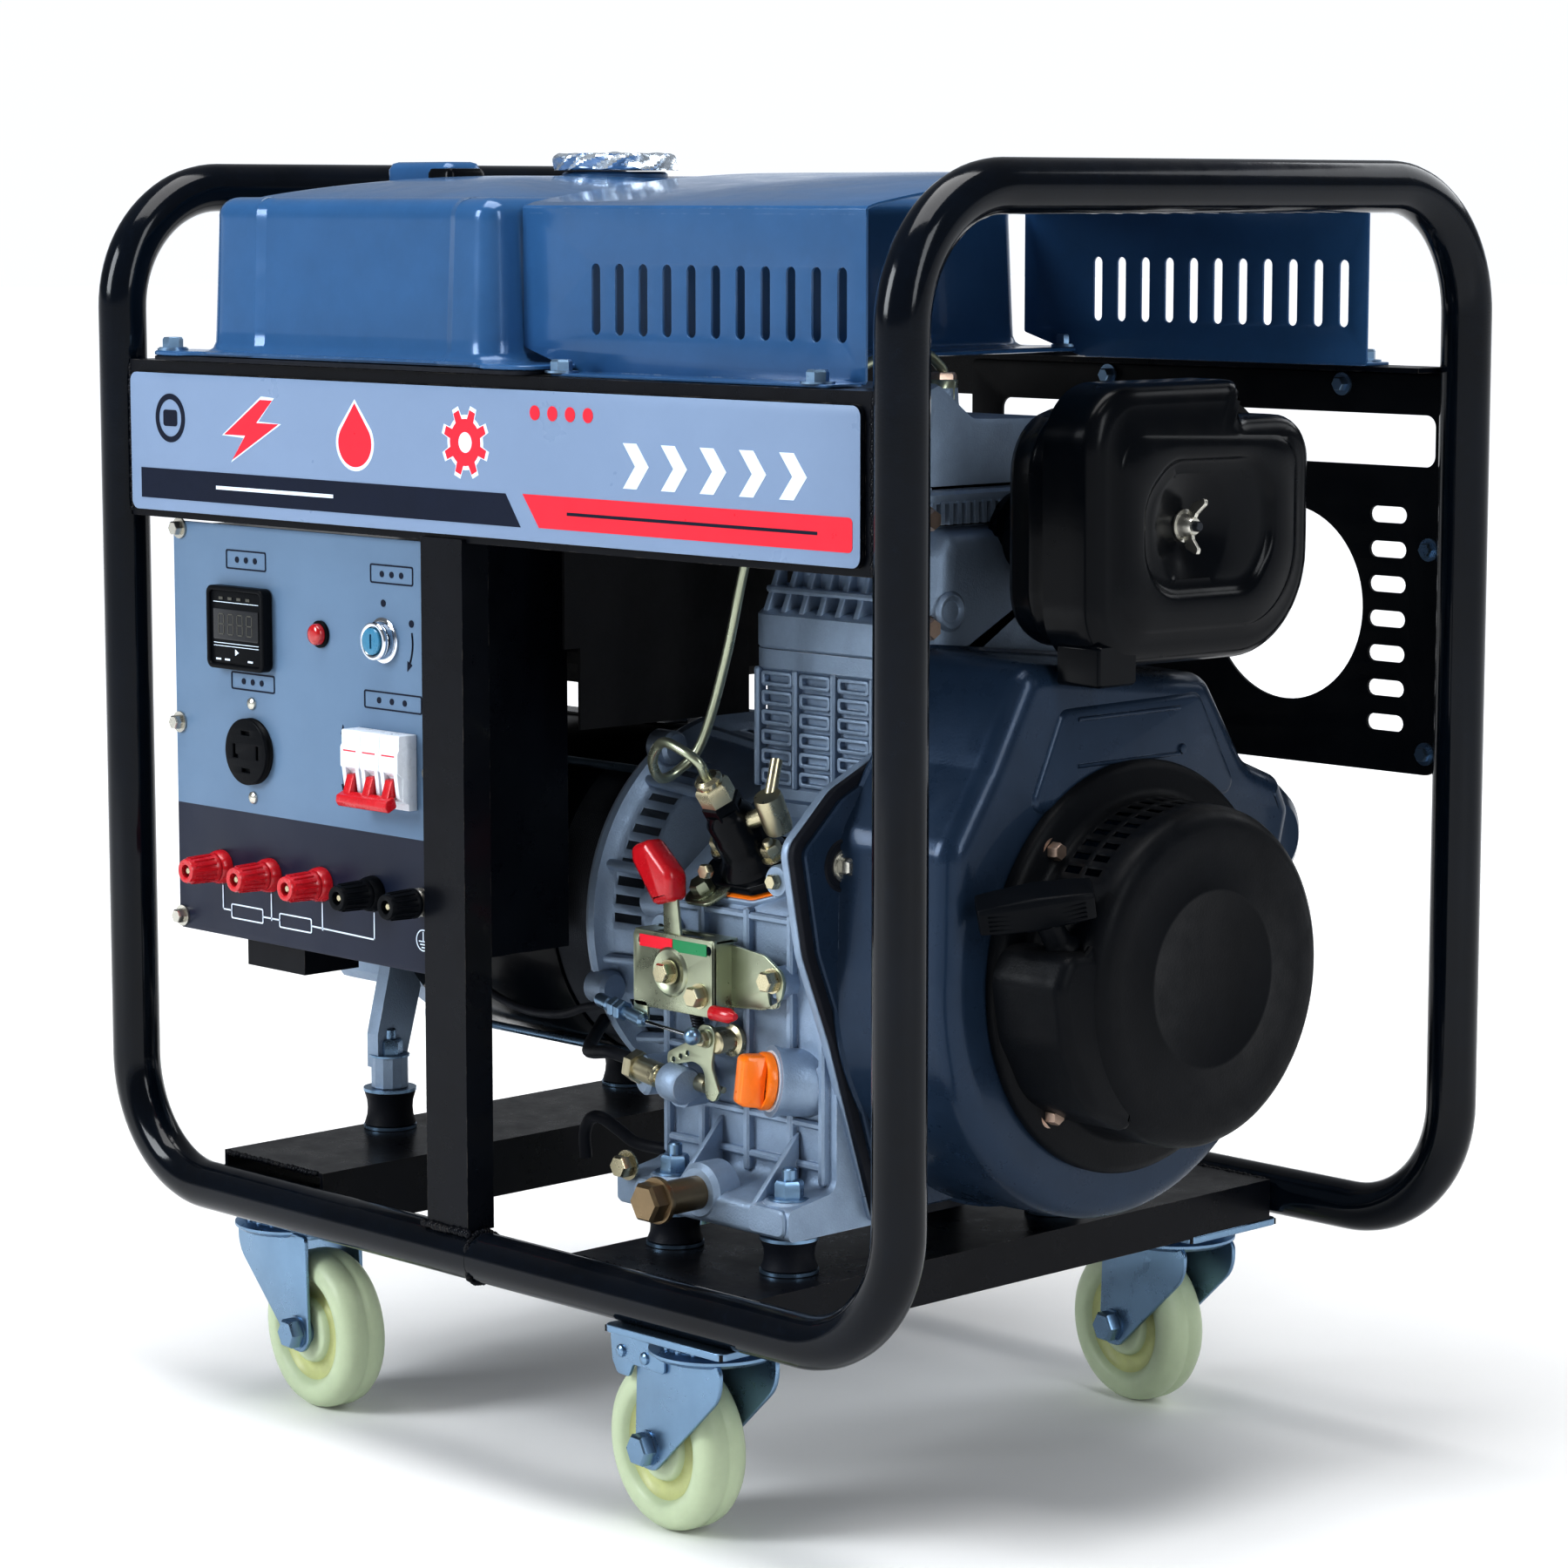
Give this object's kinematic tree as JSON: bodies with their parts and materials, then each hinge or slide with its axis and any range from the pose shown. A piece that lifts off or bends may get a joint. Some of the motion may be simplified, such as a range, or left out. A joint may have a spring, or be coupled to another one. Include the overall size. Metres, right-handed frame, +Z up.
{
  "type": "engine driven generator set",
  "caption": "Open tube frame on four castors carrying an air-cooled single-cylinder diesel engine, an alternator, a fuel tank and a control panel with binding posts.",
  "frame": {"origin": "centre of the footprint at floor level, under the wheels", "axes": "+Z up, +X toward the recoil starter end, -Y toward the control panel side"},
  "size_m": [0.715, 0.518, 0.786],
  "materials": {
    "frame_black": "gloss black powder coat",
    "panel_grey": "satin grey panel with a dark navy foot",
    "blue_grey_paint": "gloss blue-grey metallic paint",
    "cast_aluminium": "bead-blasted die casting",
    "bluish_zinc": "bright zinc plate",
    "yellow_zinc": "yellow passivated zinc plate",
    "dark_steel": "blackened steel",
    "ground_steel": "ground steel",
    "nylon": "cream nylon, scuffed",
    "black_plastic": "black moulded plastic",
    "red_plastic": "red moulded plastic",
    "white_plastic": "white moulded plastic",
    "blue_plastic": "blue moulded plastic",
    "orange_plastic": "orange moulded plastic",
    "chrome": "bright chrome",
    "silver_film": "crumpled silver film over the cap",
    "black_enamel": "gloss black enamel",
    "heatproof_black": "matt heatproof black",
    "rubber": "black rubber"
  },
  "bodies": {
    "chassis": {"frame_tube_left": "frame_black", "frame_tube_right": "frame_black", "front_brace": "frame_black", "rear_brace": "frame_black", "rear_guard": "frame_black", "base_channel_left": "frame_black", "base_channel_right": "frame_black", "control_box": "frame_black", "control_panel": "panel_grey", "digital_meter": "black_plastic", "outlet_socket": "black_plastic", "indicator_lamp": "red_plastic", "key_switch": "chrome", "breaker_body": "white_plastic", "fuel_tank": "blue_grey_paint", "muffler_cover": "blue_grey_paint", "flywheel_shroud": "blue_grey_paint", "muffler": "heatproof_black", "crankcase": "cast_aluminium", "cylinder_head": "cast_aluminium", "alternator_bracket": "cast_aluminium", "alternator_end_cover": "cast_aluminium", "injection_pump": "dark_steel", "starter_motor": "dark_steel", "alternator_stator": "dark_steel", "recoil_housing": "black_enamel", "air_cleaner_base": "black_enamel", "air_cleaner_cover": "black_enamel", "injection_pipe": "yellow_zinc", "governor_plate": "yellow_zinc", "mount_alternator_front": "rubber", "mount_alternator_rear": "rubber", "mount_engine_front_left": "rubber", "mount_engine_front_right": "rubber", "mount_engine_rear_left": "rubber", "mount_engine_rear_right": "rubber", "control_cable": "rubber"},
    "crank_train": {"crankshaft": "ground_steel", "flywheel": "dark_steel"},
    "key": {"key_rotor": "blue_plastic"},
    "breaker": {"breaker_toggle": "red_plastic"},
    "tank_cap": {"fuel_cap": "silver_film"},
    "cleaner_nut": {"wing_nut": "yellow_zinc"},
    "oil_cap": {"oil_filler_cap": "orange_plastic"},
    "pull_handle": {"recoil_handle": "black_plastic"},
    "throttle": {"speed_lever": "red_plastic"},
    "governor_arm": {"control_arm": "yellow_zinc"},
    "knob_red_1": {"terminal_knob_red_1": "red_plastic"},
    "knob_red_2": {"terminal_knob_red_2": "red_plastic"},
    "knob_red_3": {"terminal_knob_red_3": "red_plastic"},
    "knob_black": {"terminal_knob_black": "black_plastic"},
    "knob_earth": {"terminal_knob_earth": "black_plastic"},
    "castor_fl": {"castor_fork_fl": "bluish_zinc"},
    "wheel_fl": {"castor_wheel_fl": "nylon"},
    "castor_fr": {"castor_fork_fr": "bluish_zinc"},
    "wheel_fr": {"castor_wheel_fr": "nylon"},
    "castor_rl": {"castor_fork_rl": "bluish_zinc"},
    "wheel_rl": {"castor_wheel_rl": "nylon"},
    "castor_rr": {"castor_fork_rr": "bluish_zinc"},
    "wheel_rr": {"castor_wheel_rr": "nylon"}
  },
  "joints": [
    {"name": "castor_fl_swivel", "type": "hinge", "parent": "chassis", "child": "castor_fl", "pos_m": [-0.247, -0.179, 0.11], "axis": [0, 0, 1], "continuous": true},
    {"name": "wheel_fl_roll", "type": "hinge", "parent": "castor_fl", "child": "wheel_fl", "pos_m": [-0.21213, -0.18205, 0.05], "axis": [0.0872, 0.9962, 0], "continuous": true},
    {"name": "castor_fr_swivel", "type": "hinge", "parent": "chassis", "child": "castor_fr", "pos_m": [0.17, -0.203, 0.11], "axis": [0, 0, 1], "continuous": true},
    {"name": "wheel_fr_roll", "type": "hinge", "parent": "castor_fr", "child": "wheel_fr", "pos_m": [0.13519, -0.19934, 0.05], "axis": [-0.1045, -0.9945, 0], "continuous": true},
    {"name": "castor_rl_swivel", "type": "hinge", "parent": "chassis", "child": "castor_rl", "pos_m": [-0.235, 0.195, 0.11], "axis": [0, 0, 1], "continuous": true},
    {"name": "wheel_rl_roll", "type": "hinge", "parent": "castor_rl", "child": "wheel_rl", "pos_m": [-0.26531, 0.2125, 0.05], "axis": [-0.5, -0.866, 0], "continuous": true},
    {"name": "castor_rr_swivel", "type": "hinge", "parent": "chassis", "child": "castor_rr", "pos_m": [0.167, 0.195, 0.11], "axis": [0, 0, 1], "continuous": true},
    {"name": "wheel_rr_roll", "type": "hinge", "parent": "castor_rr", "child": "wheel_rr", "pos_m": [0.13234, 0.19987, 0.05], "axis": [-0.1392, -0.9903, 0], "continuous": true},
    {"name": "crankshaft_spin", "type": "hinge", "parent": "chassis", "child": "crank_train", "pos_m": [0, 0.007, 0.3215], "axis": [1, 0, 0], "continuous": true},
    {"name": "key_turn", "type": "hinge", "parent": "chassis", "child": "key", "pos_m": [-0.086, -0.233, 0.4975], "axis": [0, -1, 0], "range_deg": [-100, 0]},
    {"name": "breaker_throw", "type": "hinge", "parent": "chassis", "child": "breaker", "pos_m": [-0.083, -0.241, 0.411], "axis": [-1, 0, 0], "range_deg": [0, 60]},
    {"name": "knob_red_1_turn", "type": "hinge", "parent": "chassis", "child": "knob_red_1", "pos_m": [-0.2475, -0.238, 0.345], "axis": [0, -1, 0], "range_deg": [0, 720]},
    {"name": "knob_red_2_turn", "type": "hinge", "parent": "chassis", "child": "knob_red_2", "pos_m": [-0.1985, -0.238, 0.345], "axis": [0, -1, 0], "range_deg": [0, 720]},
    {"name": "knob_red_3_turn", "type": "hinge", "parent": "chassis", "child": "knob_red_3", "pos_m": [-0.148, -0.238, 0.345], "axis": [0, -1, 0], "range_deg": [0, 720]},
    {"name": "knob_black_turn", "type": "hinge", "parent": "chassis", "child": "knob_black", "pos_m": [-0.098, -0.238, 0.345], "axis": [0, -1, 0], "range_deg": [0, 720]},
    {"name": "knob_earth_turn", "type": "hinge", "parent": "chassis", "child": "knob_earth", "pos_m": [-0.052, -0.238, 0.345], "axis": [0, -1, 0], "range_deg": [0, 720]},
    {"name": "fuel_cap_turn", "type": "hinge", "parent": "chassis", "child": "tank_cap", "pos_m": [-0.12, -0.015, 0.778], "axis": [0, 0, 1], "range_deg": [0, 90]},
    {"name": "wing_nut_turn", "type": "hinge", "parent": "chassis", "child": "cleaner_nut", "pos_m": [0.324, 0.02, 0.574], "axis": [1, 0, 0], "range_deg": [0, 720]},
    {"name": "oil_cap_turn", "type": "hinge", "parent": "chassis", "child": "oil_cap", "pos_m": [0.16, -0.15, 0.257], "axis": [-0.4041, -0.9091, 0.101], "range_deg": [0, 540]},
    {"name": "recoil_pull", "type": "slide", "parent": "chassis", "child": "pull_handle", "axis": [0.7999, -0.2, 0.5659], "range_m": [0, 0.5], "stiffness_N_per_m": 40, "springref_m": -0.3},
    {"name": "speed_lever_swing", "type": "hinge", "parent": "chassis", "child": "throttle", "pos_m": [0.086, -0.155, 0.312], "axis": [0, 1, 0], "range_deg": [0, 38]},
    {"name": "control_arm_swing", "type": "hinge", "parent": "chassis", "child": "governor_arm", "pos_m": [0.113, -0.155, 0.276], "axis": [0, 1, 0], "range_deg": [0, 22.8]}
  ],
  "couplings": [
    {"joint": "control_arm_swing", "follows": "speed_lever_swing", "ratio": 0.6}
  ]
}
